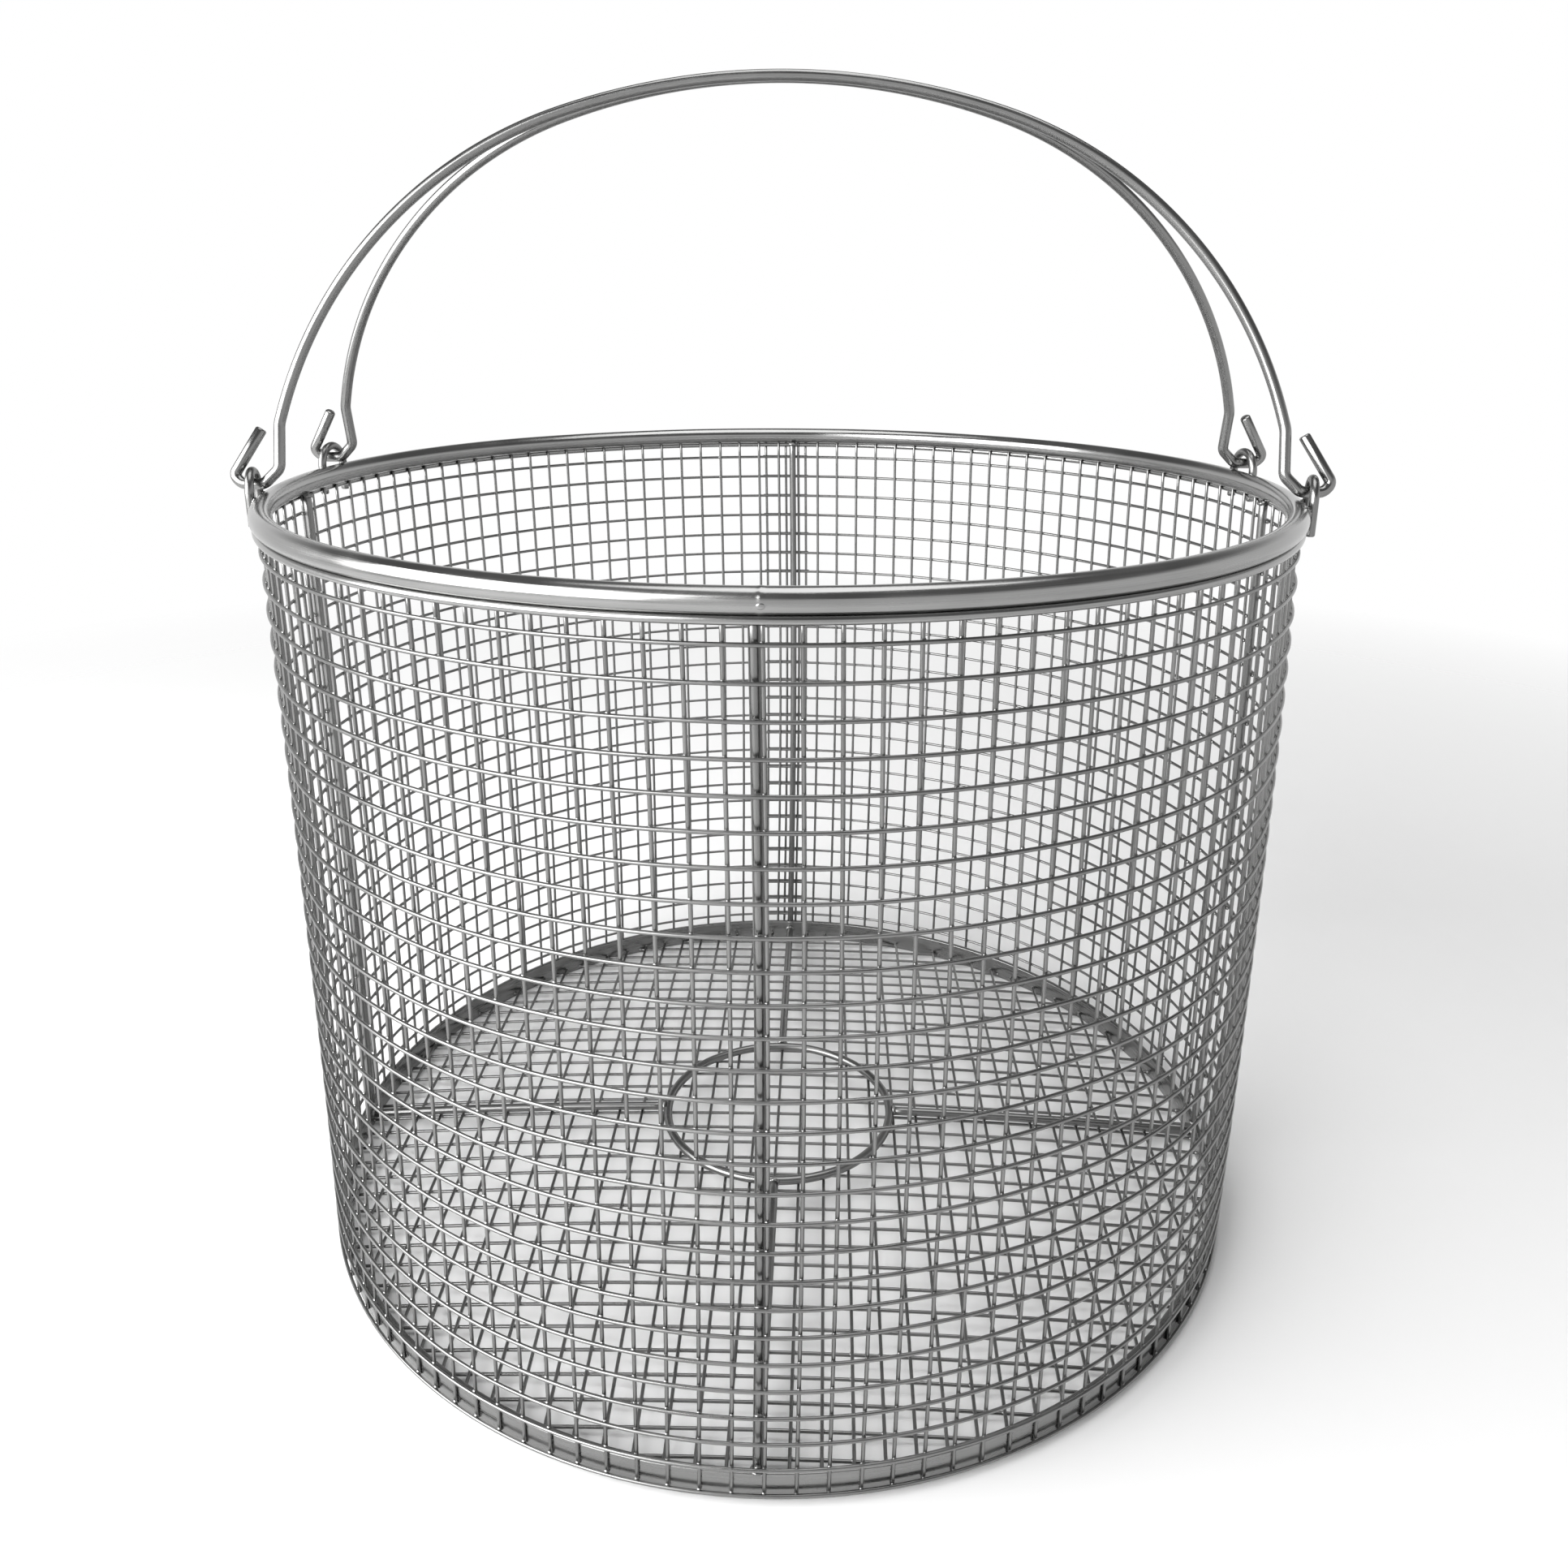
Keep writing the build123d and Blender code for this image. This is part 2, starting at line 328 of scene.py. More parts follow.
def blob_template(rings, sides):
    """Points and faces of a ball of radius 1."""
    points = [(0.0, 0.0, 1.0)]
    for ring in range(1, rings):
        tilt = math.pi * ring / rings
        for side in range(sides):
            turn = 2 * math.pi * side / sides
            flat = math.sin(tilt)
            points.append((flat * math.cos(turn), flat * math.sin(turn), math.cos(tilt)))
    points.append((0.0, 0.0, -1.0))
    faces = [[0, 1 + side, 1 + (side + 1) % sides] for side in range(sides)]
    for ring in range(rings - 2):
        top = 1 + ring * sides
        for side in range(sides):
            after = (side + 1) % sides
            faces.append([top + side, top + sides + side, top + sides + after, top + after])
    last = 1 + (rings - 2) * sides
    end = len(points) - 1
    faces += [[last + side, end, last + (side + 1) % sides] for side in range(sides)]
    return np.array(points), faces


def circle_angles(number):
    return np.arange(number) * 2 * math.pi / number


def arc_points(center, axis_a, axis_b, radius, start, end, number):
    """Points of an arc that turns from the first axis towards the second."""
    angles = np.linspace(start, end, number)[:, None]
    return center + radius * (np.cos(angles) * axis_a + np.sin(angles) * axis_b)


def wall_axes(angle):
    """Axes along the wall, up and outwards, at an angle or at each of several angles."""
    cosine, sine = np.cos(angle), np.sin(angle)
    none = np.zeros_like(cosine)
    along = np.stack([-sine, cosine, none], -1)
    up = np.stack([none, none, none + 1], -1)
    outward = np.stack([cosine, sine, none], -1)
    return np.stack([along, up, outward], axis=-2)


# ---------------------------------------------------------------- uneven wall and dished floor

def wall_point(radius, angle, height):
    """A point of the wall, with the slight unevenness of rolled mesh held by rim and band."""
    angle = np.asarray(angle, float)
    height = np.asarray(height, float)
    free = np.sin(np.clip(height / WALL_TOP, 0, 1) * math.pi)
    wave = sum(
        share * np.sin(lobes * angle + phase + turn * height)
        for share, lobes, phase, turn in WALL_RIPPLES
    )
    reach = radius + WALL_WAVE * wave * free
    x = reach * np.cos(angle) + WALL_SWAY * free
    y = reach * np.sin(angle)
    return np.stack([x, y, height + 0 * angle], -1)


def dish_height(distance):
    """Height of the dished floor over its edge."""
    return FLOOR_RISE - DISH_RADIUS + np.sqrt(DISH_RADIUS ** 2 - np.asarray(distance, float) ** 2)


def floor_lift(x, y):
    """Dish of the floor and its slight unevenness, both nothing at the band."""
    distance = np.sqrt(x ** 2 + y ** 2)
    free = np.clip(1 - (distance / BAND_INNER) ** 2, 0, 1)
    (x_turn, x_phase), (y_turn, y_phase) = FLOOR_RIPPLES
    wave = np.sin(x_turn * x + x_phase) * np.sin(y_turn * y + y_phase)
    return dish_height(np.minimum(distance, BAND_INNER)) + FLOOR_WAVE * wave * free


# ---------------------------------------------------------------- materials

NOISE_RANGE = (0.3, 0.7)         # nearly all values of a noise texture
FULL_RANGE = (0.0, 1.0)


def new_material(name):
    material = bpy.data.materials.new(name)
    material.use_nodes = True
    return material, material.node_tree, material.node_tree.nodes["Principled BSDF"]


def noise_of(tree, vector, scale, detail):
    node = tree.nodes.new("ShaderNodeTexNoise")
    node.inputs["Scale"].default_value = scale
    node.inputs["Detail"].default_value = detail
    node.inputs["Roughness"].default_value = 0.55
    tree.links.new(vector, node.inputs["Vector"])
    return node.outputs["Fac"]


def attribute_of(tree, name):
    node = tree.nodes.new("ShaderNodeAttribute")
    node.attribute_name = name
    return node.outputs["Fac"]


def ranged(tree, value, low, high, given=NOISE_RANGE):
    """Value moved from a given range to the one from low to high."""
    node = tree.nodes.new("ShaderNodeMapRange")
    node.inputs["From Min"].default_value, node.inputs["From Max"].default_value = given
    node.inputs["To Min"].default_value = low
    node.inputs["To Max"].default_value = high
    tree.links.new(value, node.inputs["Value"])
    return node.outputs["Result"]


def combined(tree, operation, first, second):
    node = tree.nodes.new("ShaderNodeMath")
    node.operation = operation
    for socket, value in zip(node.inputs, (first, second)):
        if isinstance(value, (int, float)):
            socket.default_value = value
        else:
            tree.links.new(value, socket)
    return node.outputs["Value"]


def stainless(name, grey, rough, line_depth, lines_per_metre=2400):
    """Drawn stainless steel: die lines along the rod, soft smudges, duller and rougher at welds."""
    material, tree, shader = new_material(name)
    coordinates = tree.nodes.new("ShaderNodeTexCoord").outputs["Object"]
    rod_map = tree.nodes.new("ShaderNodeUVMap")
    rod_map.uv_map = "rod"
    stretch = tree.nodes.new("ShaderNodeVectorMath")
    stretch.operation = "MULTIPLY"
    stretch.inputs[1].default_value = (22.0, lines_per_metre, 1.0)
    tree.links.new(rod_map.outputs["UV"], stretch.inputs[0])
    lines = noise_of(tree, stretch.outputs["Vector"], scale=1.0, detail=2.0)
    smudge = noise_of(tree, coordinates, scale=26.0, detail=4.0)
    cloud = noise_of(tree, coordinates, scale=7.0, detail=2.0)
    grain = noise_of(tree, coordinates, scale=1500.0, detail=2.0)
    tone = attribute_of(tree, "tone")
    heat = attribute_of(tree, "heat")

    shade = ranged(tree, lines, 0.93, 1.05)
    for value, low, high, given in (
        (smudge, 0.94, 1.04, NOISE_RANGE),
        (cloud, 0.93, 1.06, NOISE_RANGE),
        (tone, 0.92, 1.07, FULL_RANGE),
        (heat, 1.0, 0.72, FULL_RANGE),
    ):
        shade = combined(tree, "MULTIPLY", shade, ranged(tree, value, low, high, given))
    # base colour: the marks above times a grey darker than real stainless steel, painted shade that
    # stands in for the dark room the steel reflects
    color = tree.nodes.new("ShaderNodeVectorMath")
    color.operation = "SCALE"
    color.inputs[0].default_value = (grey, grey, 0.99 * grey)
    tree.links.new(shade, color.inputs["Scale"])
    tree.links.new(color.outputs["Vector"], shader.inputs["Base Color"])

    roughness = rough
    for value, low, high, given in (
        (smudge, -0.05, 0.07, NOISE_RANGE),
        (lines, -0.03, 0.05, NOISE_RANGE),
        (heat, 0.0, 0.16, FULL_RANGE),
    ):
        roughness = combined(tree, "ADD", roughness, ranged(tree, value, low, high, given))
    tree.links.new(roughness, shader.inputs["Roughness"])
    shader.inputs["Metallic"].default_value = 1.0

    bump = tree.nodes.new("ShaderNodeBump")
    bump.inputs["Strength"].default_value = line_depth
    bump.inputs["Distance"].default_value = 0.05 * MM
    height = combined(tree, "ADD", lines, combined(tree, "MULTIPLY", grain, 0.5))
    tree.links.new(height, bump.inputs["Height"])
    tree.links.new(bump.outputs["Normal"], shader.inputs["Normal"])
    return material


# the greys below are painted shade: well under the grey of real stainless steel, so the steel looks
# as dark as when it reflects a dark room; the die lines, smudges, tones and weld dulling on them
# are the steel's own
RIM_STEEL = stainless("rim_steel", grey=0.31, rough=0.18, line_depth=0.35)
WIRE_STEEL = stainless("wire_steel", grey=0.22, rough=0.27, line_depth=0.35)
ROD_STEEL = stainless("rod_steel", grey=0.22, rough=0.27, line_depth=0.55)
BAIL_STEEL = stainless("bail_steel", grey=0.24, rough=0.22, line_depth=0.45)
BAND_STEEL = stainless("band_steel", grey=0.26, rough=0.26, line_depth=0.50, lines_per_metre=900)
WELD_STEEL = stainless("weld_steel", grey=0.26, rough=0.30, line_depth=0.6)


# ---------------------------------------------------------------- rim

def closed_hoop(rods, radius, height, rod, segments, sides, weld_angle, weld_rise):
    """Ring rolled from a rod, its butt weld dressed down to a low swelling."""
    near_weld = np.linspace(-BUTT_WELD_REACH, BUTT_WELD_REACH, BUTT_WELD_POINTS) / radius
    near_weld += weld_angle % (2 * math.pi)
    angles = np.sort(np.concatenate([circle_angles(segments), near_weld]))
    away = np.abs((angles - weld_angle + math.pi) % (2 * math.pi) - math.pi) * radius
    swelling = weld_rise * np.exp(-(away / BUTT_WELD_WIDTH) ** 2)
    uneven = sum(size * np.sin(lobes * angles + phase) for size, lobes, phase in HOOP_RIPPLES)
    reach = radius + uneven
    path = np.stack([reach * np.cos(angles), reach * np.sin(angles), height + 0.5 * uneven], -1)
    rods.tube(path, rod / 2 + swelling, sides, closed=True, tone=0.6)


def rim():
    rods = Rods()
    closed_hoop(
        rods, WALL_RADIUS, RIM_HEIGHT, RIM_ROD, RIM_SEGMENTS, RIM_SIDES,
        RIM_WELD_ANGLE, RIM_WELD_RISE,
    )
    axes = wall_axes(RIM_WELD_ANGLE)
    spot = (WALL_RADIUS + RIM_ROD / 2 - 0.1 * MM) * axes[2] + (RIM_HEIGHT - 0.6 * MM) * axes[1]
    rods.blobs([spot], [axes], [RIM_WELD_SPOT], PLAIN, rings=8, sides=14)
    rods.build("rim_ring", RIM_STEEL, "basket", "top_rim_ring")
    rods = Rods()
    closed_hoop(
        rods, THIN_RADIUS, THIN_HEIGHT, THIN_ROD, THIN_SEGMENTS, ROD_SIDES,
        THIN_WELD_ANGLE, THIN_WELD_RISE,
    )
    rods.build("rim_lower_hoop", RIM_STEEL, "basket", "rim_hoop")


# ---------------------------------------------------------------- wall mesh

def upright_angle(number):
    return UPRIGHT_OFFSET / WALL_RADIUS - math.pi / 2 + number * UPRIGHT_STEP


def hoop_height(number):
    return LOWEST_HOOP + number * PITCH


def wall_mesh():
    rods = Rods()
    heights = np.linspace(WIRE_FOOT_GAP, WALL_TOP + 2 * BITE, 2 * HOOP_COUNT)
    for number in range(UPRIGHT_COUNT):
        angle = upright_angle(number) + rng.normal(0, WIRE_STRAY) / WALL_RADIUS
        angles = np.full(len(heights), angle)
        rods.tube(wall_point(WALL_RADIUS, angles, heights), WIRE / 2, WIRE_SIDES)
    rods.build("upright_wires", WIRE_STEEL, "basket", "wall_wires")

    half = HOOP_COUNT // 2
    for name, rows in (("lower", range(half)), ("upper", range(half, HOOP_COUNT))):
        rods = Rods()
        for row in rows:
            angles = circle_angles(2 * UPRIGHT_COUNT) + rng.random()
            height = hoop_height(row) + HOOP_WAVE * np.sin(4 * angles + 3 * rng.random())
            rods.tube(wall_point(HOOP_RADIUS, angles, height), WIRE / 2, WIRE_SIDES, closed=True)
        rods.build("hoop_wires_" + name, WIRE_STEEL, "basket", "wall_hoops_" + name)


def wall_welds():
    """The pressed nugget at each crossing of the wall mesh."""
    numbers, rows = np.meshgrid(np.arange(UPRIGHT_COUNT), np.arange(HOOP_COUNT))
    angles = upright_angle(numbers.ravel())
    centers = wall_point(WALL_RADIUS + WIRE / 2 - BITE / 2, angles, hoop_height(rows.ravel()))
    sizes = NUGGET * (1 + rng.normal(0, NUGGET_SCATTER, (len(angles), 3)))
    rods = Rods()
    rods.blobs(centers, wall_axes(angles), sizes, PRESSED, rings=4, sides=6)
    rods.build("wall_weld_nuggets", WELD_STEEL, "basket", None)


def wall_lap():
    """Loose edge of the rolled sheet at the back, lapped over the wall by two cells."""
    upright_circle = HOOP_RADIUS + WIRE - BITE
    hoop_circle = upright_circle + WIRE - BITE
    spread = LAP_CELLS * UPRIGHT_STEP
    first = math.pi / 2 + LAP_OFFSET / WALL_RADIUS - spread / 2
    uprights = first + np.arange(LAP_CELLS + 1) * UPRIGHT_STEP
    heights = np.linspace(WIRE_FOOT_GAP, THIN_LOW[2] + BITE, 2 * HOOP_COUNT)
    rods = Rods()
    for angle in uprights:
        angles = np.full(len(heights), angle)
        rods.tube(wall_point(upright_circle, angles, heights), WIRE / 2, WIRE_SIDES)
    overhang = WIRE / hoop_circle
    for row in range(HOOP_COUNT):
        ends = rng.uniform(0.6, 1.3, 2) * overhang
        angles = np.linspace(first - ends[0], first + spread + ends[1], 12)
        rods.tube(wall_point(hoop_circle, angles, hoop_height(row)), WIRE / 2, WIRE_SIDES)
    rows, angles = np.meshgrid(np.arange(HOOP_COUNT), uprights, indexing="ij")
    angles = angles.ravel()
    centers = wall_point(hoop_circle - WIRE / 2, angles, hoop_height(rows.ravel()))
    sizes = np.broadcast_to(LAP_NUGGET, (len(angles), 3))
    rods.blobs(centers, wall_axes(angles), sizes, PRESSED)
    rods.build("mesh_overlap_strip", WIRE_STEEL, "basket", "wall_mesh_lap")


# ---------------------------------------------------------------- band, struts and floor

def band():
    """Flat bar rolled on edge, with the rounded corners that rolled bar has."""
    half_height = BAND_HEIGHT / 2
    half_thick = BAND_THICKNESS / 2
    profile = []
    for x_side, z_side, start in ((1, 1, 0), (-1, 1, 90), (-1, -1, 180), (1, -1, 270)):
        for turn in np.radians(start + np.array([0, 30, 60, 90])):
            x = x_side * (half_thick - BAND_CORNER) + BAND_CORNER * math.cos(turn)
            z = z_side * (half_height - BAND_CORNER) + BAND_CORNER * math.sin(turn)
            profile.append((x, z))
    profile = np.array(profile)
    angles = circle_angles(BAND_SEGMENTS)
    middle = (BAND_OUTER + BAND_INNER) / 2 + BAND_WAVE * np.sin(4 * angles + 0.5)
    reach = middle[:, None] + profile[None, :, 0]
    x = reach * np.cos(angles)[:, None]
    y = reach * np.sin(angles)[:, None]
    z = BAND_LOW[2] + half_height + np.broadcast_to(profile[None, :, 1], reach.shape)
    points = np.stack([x, y, z], -1)

    count = len(profile)
    edges = np.linalg.norm(np.roll(profile, -1, 0) - profile, axis=1)
    girth = np.concatenate([[0], np.cumsum(edges)])
    along = np.arange(BAND_SEGMENTS + 1) * 2 * math.pi * BAND_OUTER / BAND_SEGMENTS
    faces = []
    loops = []
    for row in range(BAND_SEGMENTS):
        here = row * count
        there = (row + 1) % BAND_SEGMENTS * count
        low, high = along[row], along[row + 1]
        for side in range(count):
            after = (side + 1) % count
            left, right = girth[side], girth[side + 1]
            faces.append([here + side, there + side, there + after, here + after])
            loops += [(low, left), (high, left), (high, right), (low, right)]
    rods = Rods()
    rods.add(points.reshape(-1, 3), faces, np.array(loops), 0.5, PLAIN)
    rods.build("bottom_flat_band", BAND_STEEL, "basket", "bottom_band")


def bead(rods, path, size):
    """Laid weld bead: overlapping ripples along a short path."""
    reached = np.concatenate([[0], np.cumsum(np.linalg.norm(np.diff(path, axis=0), axis=1))])
    length = reached[-1]
    shares = np.linspace(0, 1, max(6, int(length / BEAD_STEP)))
    route = np.stack([np.interp(shares, reached / length, path[:, axis]) for axis in range(3)], -1)
    ripple = 1 + BEAD_RIPPLE * np.sin(shares * length / BEAD_RIPPLE_LENGTH * 2 * math.pi)
    taper = np.clip(np.minimum(shares, 1 - shares) * 5, 0.25, 1) ** 0.5
    rods.tube(route, size * ripple * taper, BEAD_SIDES, chamfered=False, heat=MELTED)


def bead_round(rods, center, axis_a, axis_b, radius, size, start=0.0, end=2 * math.pi):
    """Weld bead round a rod, or round a part of it."""
    path = arc_points(center, axis_a, axis_b, radius, start, end, BEAD_ARC_POINTS)
    bead(rods, path, size)


def struts():
    low = BAND_HIGH[2] - BITE
    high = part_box("wall_strut_front")[1][2]
    for place, angle in QUARTERS.items():
        rods = Rods()
        heights = np.linspace(low, high, 40)
        path = wall_point(STRUT_CIRCLE, angle, heights)
        rods.tube(path, STRUT_ROD / 2, ROD_SIDES, tone=0.3)
        rods.build("strut_" + place, ROD_STEEL, "basket", "wall_strut_" + place)

        axes = wall_axes(angle)
        along, up, outward = axes
        rods = Rods()
        foot = STRUT_CIRCLE * outward + (BAND_HIGH[2] + 0.2 * MM) * up
        bead_round(rods, foot, along, outward, STRUT_ROD / 2 + 0.1 * MM, STRUT_FOOT_BEAD)
        head = STRUT_CIRCLE * outward + (WALL_TOP - 0.3 * MM) * up
        bead_round(
            rods, head, along, outward, STRUT_ROD / 2 + 0.15 * MM, STRUT_HEAD_BEAD,
            start=1.05 * math.pi, end=1.95 * math.pi,
        )
        for row in range(1, HOOP_COUNT, 2):
            spot = wall_point(WALL_RADIUS, angle, hoop_height(row))
            size = STRUT_WELD * (1 + rng.normal(0, STRUT_WELD_SCATTER, 3))
            rods.blobs([spot], [axes], [size], rings=6, sides=10)
        rods.build("strut_welds_" + place, WELD_STEEL, "basket", None)


def floor_mesh():
    """Two layers of wires, a nugget at each crossing and a weld at each wire's end."""
    reach = int((BAND_INNER - PITCH / 2) / PITCH)
    ends = []
    for name, node, height, turned in (
        ("floor_wires_x", "floor_wires_across", FLOOR_ACROSS, False),
        ("floor_wires_y", "floor_wires_along", FLOOR_ALONG, True),
    ):
        rods = Rods()
        for number in range(-reach, reach + 1):
            offset = number * PITCH + rng.normal(0, WIRE_STRAY) * (number != 0)
            half = math.sqrt(BAND_INNER ** 2 - offset ** 2) + BITE
            run = np.linspace(-half, half, 4 * max(6, int(half / PITCH)) + 1)
            side = np.full_like(run, offset)
            x, y = (side, run) if turned else (run, side)
            path = np.stack([x, y, height + floor_lift(x, y)], -1)
            rods.tube(path, WIRE / 2, WIRE_SIDES)
            ends += [path[0], path[-1]]
        rods.build(name, WIRE_STEEL, "basket", node)

    lines = np.arange(-reach, reach + 1) * PITCH
    x, y = [grid.ravel() for grid in np.meshgrid(lines, lines)]
    inside = np.hypot(x, y) < BAND_INNER - WIRE
    x, y = x[inside], y[inside]
    centers = np.stack([x, y, FLOOR_ACROSS + WIRE / 2 - BITE / 2 + floor_lift(x, y)], -1)
    level = np.eye(3)
    sizes = NUGGET * (1 + rng.normal(0, NUGGET_SCATTER, (len(x), 3)))
    rods = Rods()
    rods.blobs(centers, np.broadcast_to(level, (len(x), 3, 3)), sizes, PRESSED, rings=4, sides=6)
    end_sizes = np.full((len(ends), 3), WIRE_END_WELD)
    rods.blobs(ends, np.broadcast_to(level, (len(ends), 3, 3)), end_sizes)
    rods.build("floor_weld_nuggets", WELD_STEEL, "basket", None)


def floor_frame():
    rods = Rods()
    closed_hoop(
        rods, RING_RADIUS, RING_HEIGHT, SPOKE_ROD, RING_SEGMENTS, ROD_SIDES,
        RING_WELD_ANGLE, RING_WELD_RISE,
    )
    rods.build("floor_ring", ROD_STEEL, "basket", "floor_center_ring")
    run = np.linspace(RING_RADIUS + SPOKE_ROD / 2 - BITE, BAND_INNER + BITE, 30)[:, None]
    heights = FLOOR_ROD + dish_height(np.minimum(run, BAND_INNER))
    for place, angle in QUARTERS.items():
        along, up, outward = wall_axes(angle)
        path = run * outward + heights * up
        rods = Rods()
        rods.tube(path, SPOKE_ROD / 2, ROD_SIDES, tone=0.3)
        rods.build("spoke_" + place, ROD_STEEL, "basket", "floor_spoke_" + place)
        rods = Rods()
        for spot in (path[0] + 0.3 * MM * outward, path[-1] - 0.4 * MM * outward):
            bead_round(
                rods, spot, along, up, SPOKE_ROD / 2 + 0.1 * MM, SPOKE_BEAD,
                start=-0.3, end=math.pi + 0.3,
            )
        rods.build("spoke_welds_" + place, WELD_STEEL, "basket", None)


# ---------------------------------------------------------------- ears and bails

def ears():
    """Upright loops outside the rim, each leg welded to it by a bead on either side."""
    for place in ("front_left", "front_right", "rear_left", "rear_right"):
        node = "ear_" + place
        low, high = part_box(node)
        x, y = (low[0] + high[0]) / 2, (low[1] + high[1]) / 2
        along, up, outward = wall_axes(math.atan2(y, x))
        base = outward * math.hypot(x, y)
        spring = high[2] - EAR_ROD / 2 - EAR_HALF
        leg = np.linspace(low[2], spring, 10)[:, None] * up
        arch = arc_points(base + spring * up, along, up, EAR_HALF, math.pi, 0, 26)
        left = leg - EAR_HALF * along + base
        right = leg[::-1] + EAR_HALF * along + base
        rods = Rods()
        rods.tube(np.concatenate([left[:-1], arch, right[1:]]), EAR_ROD / 2, ROD_SIDES, tone=0.4)
        rods.build(node + "_loop", ROD_STEEL, "basket", node)
        rods = Rods()
        for side in (-1, 1):
            for flank in (-1, 1):
                shift = side * EAR_HALF + flank * EAR_BEAD_FLANK
                middle = base + shift * along - EAR_BEAD_INSET * outward + RIM_HEIGHT * up
                path = [middle + rise * up + reach * outward for rise, reach in EAR_BEAD_SHAPE]
                bead(rods, np.array(path), EAR_BEAD)
        rods.build(node + "_welds", WELD_STEEL, "basket", None)


def rounded(corners, radii):
    """Points along a route whose inner corners are arcs of the given radii."""
    corners = [np.asarray(corner, float) for corner in corners]
    route = [corners[0]]
    for last, corner, following, radius in zip(corners, corners[1:], corners[2:], radii):
        before = (last - corner) / np.linalg.norm(last - corner)
        after = (following - corner) / np.linalg.norm(following - corner)
        half = math.acos(float(np.clip(before.dot(after), -1, 1))) / 2
        reach = radius / math.tan(half)
        bisector = (before + after) / np.linalg.norm(before + after)
        center = corner + bisector * radius / math.sin(half)
        start = corner + before * reach - center
        end = corner + after * reach - center
        turn = math.pi - 2 * half
        for share in np.linspace(0, 1, max(5, int(turn * radius / BEND_STEP))):
            mix = math.sin((1 - share) * turn) * start + math.sin(share * turn) * end
            route.append(center + mix / math.sin(turn))
    route.append(corners[-1])
    return route


def bail_half():
    """Right half of a bail's centre line in its own plane, from beside the crown to the tail.

    The bow is a flat arc at the crown, which goes on in a tighter one to the foot. Their two
    radii follow from where the foot stands and how it leans.
    """
    leg_x = EAR_X - BAIL_LEG_INSET
    bow_x = leg_x - BOW_LEAD * math.sin(BAIL_FOOT_LEAN)
    bow_z = BAIL_LEG_HEIGHT + BOW_LEAD * math.cos(BAIL_FOOT_LEAN)
    foot_turn = math.pi / 2 - BAIL_FOOT_LEAN
    crown_span, crown_drop = math.sin(BAIL_CROWN_TURN), 1 - math.cos(BAIL_CROWN_TURN)
    shoulder_span = math.sin(foot_turn) - crown_span
    shoulder_drop = math.cos(BAIL_CROWN_TURN) - math.cos(foot_turn)
    fall = BAIL_RISE - bow_z
    determinant = crown_span * shoulder_drop - shoulder_span * crown_drop
    crown = (bow_x * shoulder_drop - shoulder_span * fall) / determinant
    shoulder = (crown_span * fall - crown_drop * bow_x) / determinant

    crown_turns = np.linspace(0, BAIL_CROWN_TURN, 22)[1:, None]
    flat_arc = [0, BAIL_RISE] + crown * np.hstack([np.sin(crown_turns), np.cos(crown_turns) - 1])
    turns = np.linspace(BAIL_CROWN_TURN, foot_turn, 50)[1:-1, None]
    from_joint = [np.sin(turns) - crown_span, np.cos(turns) - math.cos(BAIL_CROWN_TURN)]
    tight_arc = flat_arc[-1] + shoulder * np.hstack(from_joint)
    foot = rounded(
        [
            (bow_x, bow_z),
            (leg_x, BAIL_LEG_HEIGHT),
            (leg_x, BAIL_KINK_HEIGHT),
            (EAR_X - PIN_HALF_LENGTH, 0),
            (EAR_X + PIN_HALF_LENGTH, 0),
            (EAR_X + ELBOW_REACH, ELBOW_HEIGHT),
            (EAR_X - TAIL_INSET, TAIL_HEIGHT),
        ],
        [LEG_BEND_RADIUS, KINK_RADIUS, KINK_RADIUS, KINK_RADIUS, ELBOW_RADIUS],
    )
    return np.concatenate([flat_arc, tight_arc, foot])


def bails():
    """The two handles at rest, leaning inwards until they all but meet."""
    half = bail_half()
    flat = np.concatenate([half[::-1] * [-1, 1], [[0, BAIL_RISE]], half])
    for name, side in (("front_bail", -1), ("rear_bail", 1)):
        hinge = HINGE[name]
        lean = math.asin((abs(hinge[1]) - (BAIL_ROD + BAIL_GAP) / 2) / BAIL_RISE)
        y = hinge[1] - side * flat[:, 1] * math.sin(lean)
        z = hinge[2] + flat[:, 1] * math.cos(lean)
        rods = Rods()
        rods.tube(np.stack([flat[:, 0], y, z], -1), BAIL_ROD / 2, BAIL_SIDES, tone=0.5)
        rods.build(name + "_rod", BAIL_STEEL, name, name)


rim()
wall_mesh()
wall_welds()
wall_lap()
band()
struts()
floor_mesh()
floor_frame()
ears()
bails()


# ---------------------------------------------------------------- stage, lights and camera

FLOOR_FADE = 0.55                # radius where the floor starts to fade
FLOOR_REACH = 1.5                # and where it ends
FLOOR_DROP = 0.2 * MM            # under the basket's feet
FLOOR_GREY = 0.86
FLOOR_CORNERS = 96

# the studio is white below and at eye level, and grey overhead, by the direction's height
SKY_WHITE_UP_TO = 0.24
SKY_GREY_FROM = 0.52
SKY_GREY = 0.20

LIGHT_TARGET = Vector((0, 0, 0.2))

# fitted to the rim, the sides, the bottom and the handles in the photo
CAMERA_PLACE = (0.0220, -0.6237, 0.4534)
CAMERA_YAW = math.radians(-1.81)
CAMERA_PITCH = math.radians(17.30)
CAMERA_ROLL = math.radians(0.18)
CAMERA_SENSOR = 36.0
CAMERA_LENS = 29.88
CAMERA_SHIFT = -0.0589


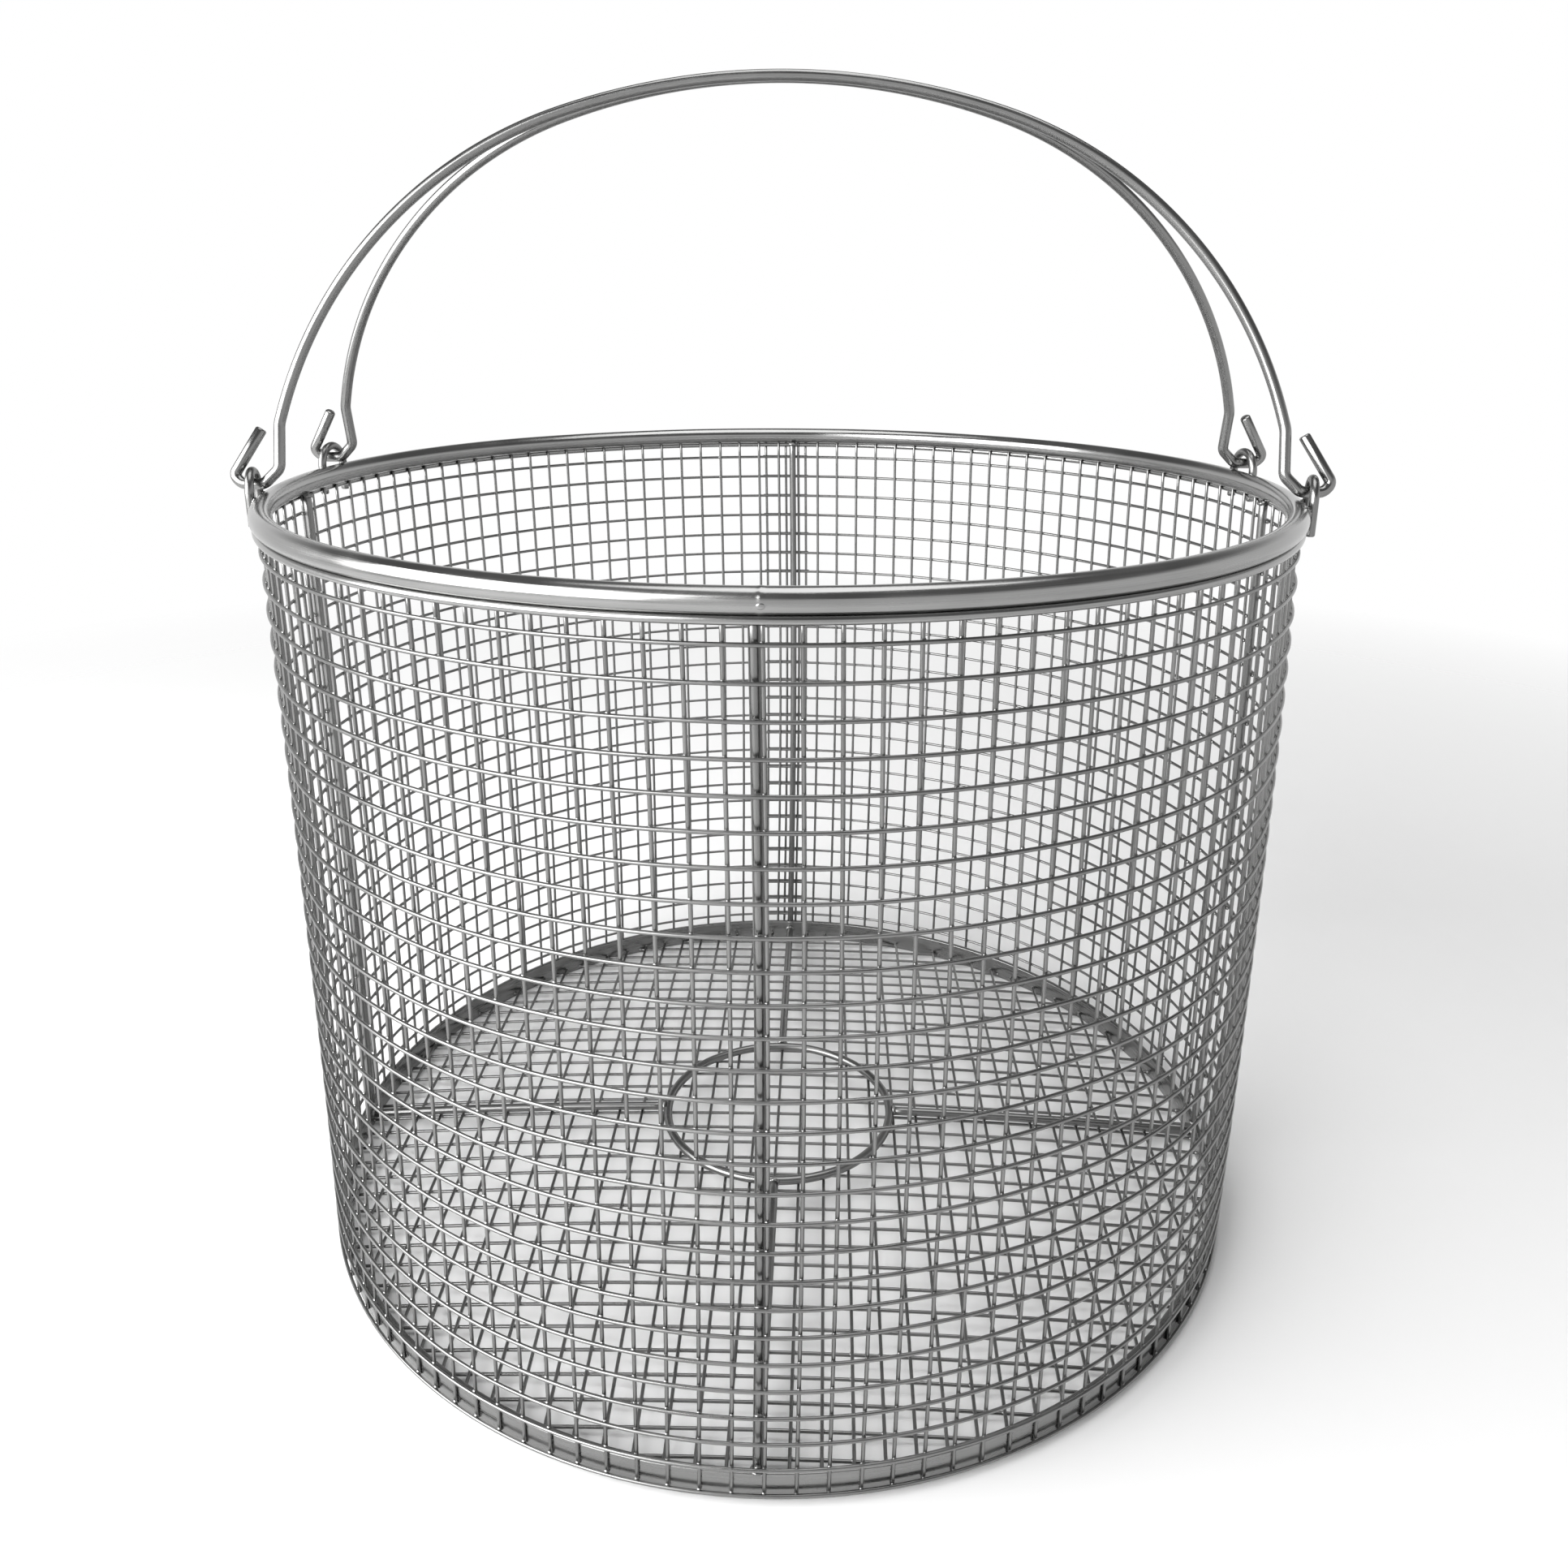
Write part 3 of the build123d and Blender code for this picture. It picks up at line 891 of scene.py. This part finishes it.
def floor_material():
    """Matt pale floor that fades out into the pale studio round it."""
    material, tree, shader = new_material("studio_floor")
    coordinates = tree.nodes.new("ShaderNodeTexCoord").outputs["Object"]
    cloud = noise_of(tree, coordinates, scale=1.5, detail=2.0)
    tree.links.new(ranged(tree, cloud, 0.62, 0.74), shader.inputs["Roughness"])
    distance = tree.nodes.new("ShaderNodeVectorMath")
    distance.operation = "LENGTH"
    tree.links.new(coordinates, distance.inputs[0])
    fade = ranged(tree, distance.outputs["Value"], 1.0, 0.0, (FLOOR_FADE, FLOOR_REACH))
    tree.links.new(fade, shader.inputs["Alpha"])
    shader.inputs["Base Color"].default_value = (FLOOR_GREY, FLOOR_GREY, FLOOR_GREY, 1.0)
    shader.inputs["Specular IOR Level"].default_value = 0.2
    return material


def studio_floor():
    mesh = bpy.data.meshes.new("studio_floor")
    edge = [
        (FLOOR_REACH * math.cos(angle), FLOOR_REACH * math.sin(angle), -FLOOR_DROP)
        for angle in circle_angles(FLOOR_CORNERS)
    ]
    mesh.from_pydata(edge, [], [list(range(FLOOR_CORNERS))])
    mesh.materials.append(floor_material())
    floor = bpy.data.objects.new("studio_floor", mesh)
    bpy.context.collection.objects.link(floor)


def studio_world():
    world = bpy.data.worlds.new("studio")
    world.use_nodes = True
    tree = world.node_tree
    direction = tree.nodes.new("ShaderNodeSeparateXYZ")
    coordinates = tree.nodes.new("ShaderNodeTexCoord")
    tree.links.new(coordinates.outputs["Generated"], direction.inputs["Vector"])
    ramp = tree.nodes.new("ShaderNodeValToRGB")
    ramp.color_ramp.interpolation = "EASE"
    white, grey = ramp.color_ramp.elements
    white.position = SKY_WHITE_UP_TO
    white.color = (1.0, 1.0, 1.0, 1.0)
    grey.position = SKY_GREY_FROM
    grey.color = (SKY_GREY, SKY_GREY, SKY_GREY, 1.0)
    tree.links.new(direction.outputs["Z"], ramp.inputs["Fac"])
    tree.links.new(ramp.outputs["Color"], tree.nodes["Background"].inputs["Color"])
    bpy.context.scene.world = world
    bpy.context.scene.view_settings.view_transform = "Standard"


def softbox(name, place, width, height, watts):
    light = bpy.data.lights.new(name, "AREA")
    light.shape = "RECTANGLE"
    light.size = width
    light.size_y = height
    light.energy = watts
    lamp = bpy.data.objects.new(name, light)
    lamp.location = place
    lamp.rotation_euler = (LIGHT_TARGET - Vector(place)).to_track_quat("-Z", "Y").to_euler()
    bpy.context.collection.objects.link(lamp)


def camera():
    level = math.cos(CAMERA_PITCH)
    forward = Vector(
        (math.sin(CAMERA_YAW) * level, math.cos(CAMERA_YAW) * level, -math.sin(CAMERA_PITCH))
    )
    right = forward.cross(Vector((0, 0, 1))).normalized()
    up = right.cross(forward)
    tilted_right = math.cos(CAMERA_ROLL) * right + math.sin(CAMERA_ROLL) * up
    tilted_up = math.cos(CAMERA_ROLL) * up - math.sin(CAMERA_ROLL) * right
    turn = Matrix((tilted_right, tilted_up, -forward)).transposed()
    data = bpy.data.cameras.new("camera")
    data.sensor_width = CAMERA_SENSOR
    data.lens = CAMERA_LENS
    data.shift_y = CAMERA_SHIFT
    view = bpy.data.objects.new("camera", data)
    view.matrix_world = Matrix.Translation(CAMERA_PLACE) @ turn.to_4x4()
    bpy.context.collection.objects.link(view)
    bpy.context.scene.camera = view


studio_floor()
studio_world()
softbox("key_left", (-1.42, -1.0, 0.95), width=2.3, height=1.7, watts=92)
softbox("top", (0.1, 0.1, 1.9), width=1.2, height=1.2, watts=12)
camera()
